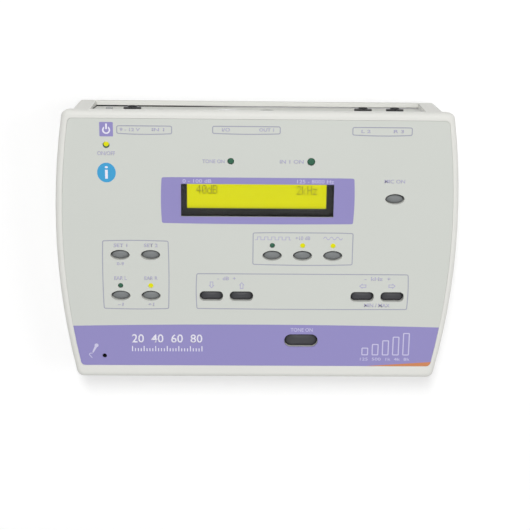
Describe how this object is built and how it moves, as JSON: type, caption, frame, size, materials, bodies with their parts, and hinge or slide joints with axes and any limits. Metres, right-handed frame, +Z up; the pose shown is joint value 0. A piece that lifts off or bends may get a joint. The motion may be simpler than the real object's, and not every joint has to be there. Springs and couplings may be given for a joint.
{
  "type": "desktop screening audiometer",
  "caption": "Low desktop hearing tester with a sloped key panel, two-line display, signal lamps, oval and rounded push keys, talk microphone and rear jack sockets.",
  "frame": {"origin": "floor level under the centre of the bounding box", "axes": "+X to the user's right along the long side, +Y to the rear where the sockets are, +Z up; the key panel slopes down towards -Y"},
  "size_m": [0.2664, 0.1862, 0.0595],
  "materials": {
    "tub_plastic": "fine grain",
    "cover_plastic": "fine grain",
    "film": "printed film",
    "lens": "clear",
    "dark_frame": "satin",
    "lcd": "lit display",
    "board": "solder mask",
    "black_plastic": "moulded",
    "screw_steel": "zinc",
    "oval_key": "silicone",
    "step_key": "silicone",
    "lit_lamp": "lit",
    "dark_lamp": "unlit green",
    "socket_metal": "plated",
    "rubber": "matte",
    "panel_plastic": "fine grain",
    "button_grey": "moulded",
    "capacitor": "sleeve",
    "ribbon": "flat cable"
  },
  "bodies": {
    "case": {"base_shell": "tub_plastic", "top_cover": "cover_plastic", "panel_film": "film", "display_lens": "lens", "lcd_frame": "dark_frame", "lcd_glass": "lcd", "lcd_board": "board", "lcd_header": "black_plastic", "lcd_screws": "screw_steel", "key_board": "board", "key_switches": "black_plastic", "key_board_screws": "screw_steel", "power_lamp": "lit_lamp", "tone_lamp": "dark_lamp", "reply_lamp": "dark_lamp", "left_key_lamp": "dark_lamp", "right_key_lamp": "lit_lamp", "pulse_lamp": "dark_lamp", "boost_lamp": "lit_lamp", "warble_lamp": "lit_lamp", "microphone": "socket_metal", "mic_grommet": "rubber", "rear_panel": "panel_plastic", "rear_panel_screws": "screw_steel", "reply_jack": "black_plastic", "left_jack": "black_plastic", "right_jack": "black_plastic", "jack_nuts": "black_plastic", "power_inlet": "black_plastic", "usb_socket": "socket_metal", "round_socket": "black_plastic", "power_switch": "black_plastic", "socket_board": "board", "main_board": "board", "main_board_screws": "screw_steel", "board_chips": "black_plastic", "board_capacitors": "capacitor", "key_ribbon": "ribbon", "socket_ribbon": "ribbon", "case_screws": "screw_steel", "rubber_feet": "rubber"},
    "menu_key_body": {"menu_key": "oval_key"},
    "print_key_body": {"print_key": "oval_key"},
    "left_key_body": {"left_key": "oval_key"},
    "right_key_body": {"right_key": "oval_key"},
    "pulse_key_body": {"pulse_key": "oval_key"},
    "boost_key_body": {"boost_key": "oval_key"},
    "warble_key_body": {"warble_key": "oval_key"},
    "talk_key_body": {"talk_key": "oval_key"},
    "level_down_key_body": {"level_down_key": "step_key"},
    "level_up_key_body": {"level_up_key": "step_key"},
    "pitch_down_key_body": {"pitch_down_key": "step_key"},
    "pitch_up_key_body": {"pitch_up_key": "step_key"},
    "present_key_body": {"present_key": "step_key"},
    "power_button_body": {"power_button": "button_grey"}
  },
  "joints": [
    {"name": "menu_press", "type": "slide", "parent": "case", "child": "menu_key_body", "axis": [0, 0.1305, -0.9914], "range_m": [0, 0.0012], "stiffness_N_per_m": 500, "springref_m": -0.001},
    {"name": "print_press", "type": "slide", "parent": "case", "child": "print_key_body", "axis": [0, 0.1305, -0.9914], "range_m": [0, 0.0012], "stiffness_N_per_m": 500, "springref_m": -0.001},
    {"name": "left_press", "type": "slide", "parent": "case", "child": "left_key_body", "axis": [0, 0.1305, -0.9914], "range_m": [0, 0.0012], "stiffness_N_per_m": 500, "springref_m": -0.001},
    {"name": "right_press", "type": "slide", "parent": "case", "child": "right_key_body", "axis": [0, 0.1305, -0.9914], "range_m": [0, 0.0012], "stiffness_N_per_m": 500, "springref_m": -0.001},
    {"name": "pulse_press", "type": "slide", "parent": "case", "child": "pulse_key_body", "axis": [0, 0.1305, -0.9914], "range_m": [0, 0.0012], "stiffness_N_per_m": 500, "springref_m": -0.001},
    {"name": "boost_press", "type": "slide", "parent": "case", "child": "boost_key_body", "axis": [0, 0.1305, -0.9914], "range_m": [0, 0.0012], "stiffness_N_per_m": 500, "springref_m": -0.001},
    {"name": "warble_press", "type": "slide", "parent": "case", "child": "warble_key_body", "axis": [0, 0.1305, -0.9914], "range_m": [0, 0.0012], "stiffness_N_per_m": 500, "springref_m": -0.001},
    {"name": "talk_press", "type": "slide", "parent": "case", "child": "talk_key_body", "axis": [0, 0.1305, -0.9914], "range_m": [0, 0.0012], "stiffness_N_per_m": 500, "springref_m": -0.001},
    {"name": "level_down_press", "type": "slide", "parent": "case", "child": "level_down_key_body", "axis": [0, 0.1305, -0.9914], "range_m": [0, 0.0012], "stiffness_N_per_m": 500, "springref_m": -0.001},
    {"name": "level_up_press", "type": "slide", "parent": "case", "child": "level_up_key_body", "axis": [0, 0.1305, -0.9914], "range_m": [0, 0.0012], "stiffness_N_per_m": 500, "springref_m": -0.001},
    {"name": "pitch_down_press", "type": "slide", "parent": "case", "child": "pitch_down_key_body", "axis": [0, 0.1305, -0.9914], "range_m": [0, 0.0012], "stiffness_N_per_m": 500, "springref_m": -0.001},
    {"name": "pitch_up_press", "type": "slide", "parent": "case", "child": "pitch_up_key_body", "axis": [0, 0.1305, -0.9914], "range_m": [0, 0.0012], "stiffness_N_per_m": 500, "springref_m": -0.001},
    {"name": "present_press", "type": "slide", "parent": "case", "child": "present_key_body", "axis": [0, 0.1305, -0.9914], "range_m": [0, 0.0012], "stiffness_N_per_m": 500, "springref_m": -0.001},
    {"name": "power_press", "type": "slide", "parent": "case", "child": "power_button_body", "axis": [0, -1, 0], "range_m": [0, 0.0015], "stiffness_N_per_m": 600, "springref_m": -0.001}
  ]
}
